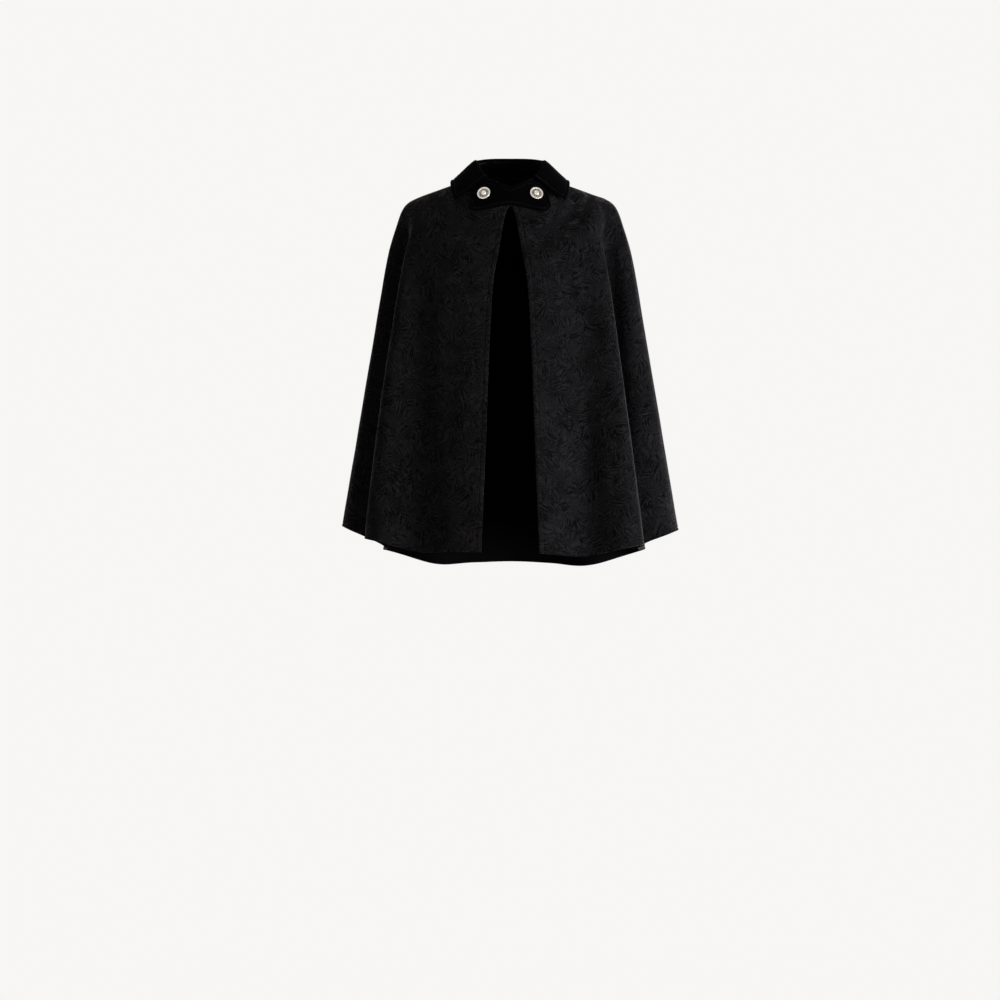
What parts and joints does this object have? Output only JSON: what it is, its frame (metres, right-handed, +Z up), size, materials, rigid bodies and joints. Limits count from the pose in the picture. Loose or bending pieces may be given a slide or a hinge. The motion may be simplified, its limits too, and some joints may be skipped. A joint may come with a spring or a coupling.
{
  "type": "short cloak",
  "caption": "Short flared cloak, worn open, with a turned-down velvet collar and a throat tab held by metal buttons.",
  "frame": {"origin": "middle of the neck opening, level with the neck seam at its sides, where the wearer's neck and shoulders hold the cloak up", "axes": "+Z up the body, -Y the way the wearer faces, +X to the wearer's left"},
  "size_m": [0.6566, 0.4313, 0.808],
  "materials": {
    "cloth": "black napped cloth with a tone-on-tone leaf figure, plain on the inside",
    "velvet": "black cotton velvet",
    "metal": "bright silver-coloured cast metal"
  },
  "bodies": {
    "root": {"front_left": "cloth", "front_right": "cloth", "back": "cloth", "collar_stand": "velvet", "collar_fall": "velvet", "throat_tab": "velvet", "button_left": "metal", "button_right": "metal"}
  },
  "joints": []
}
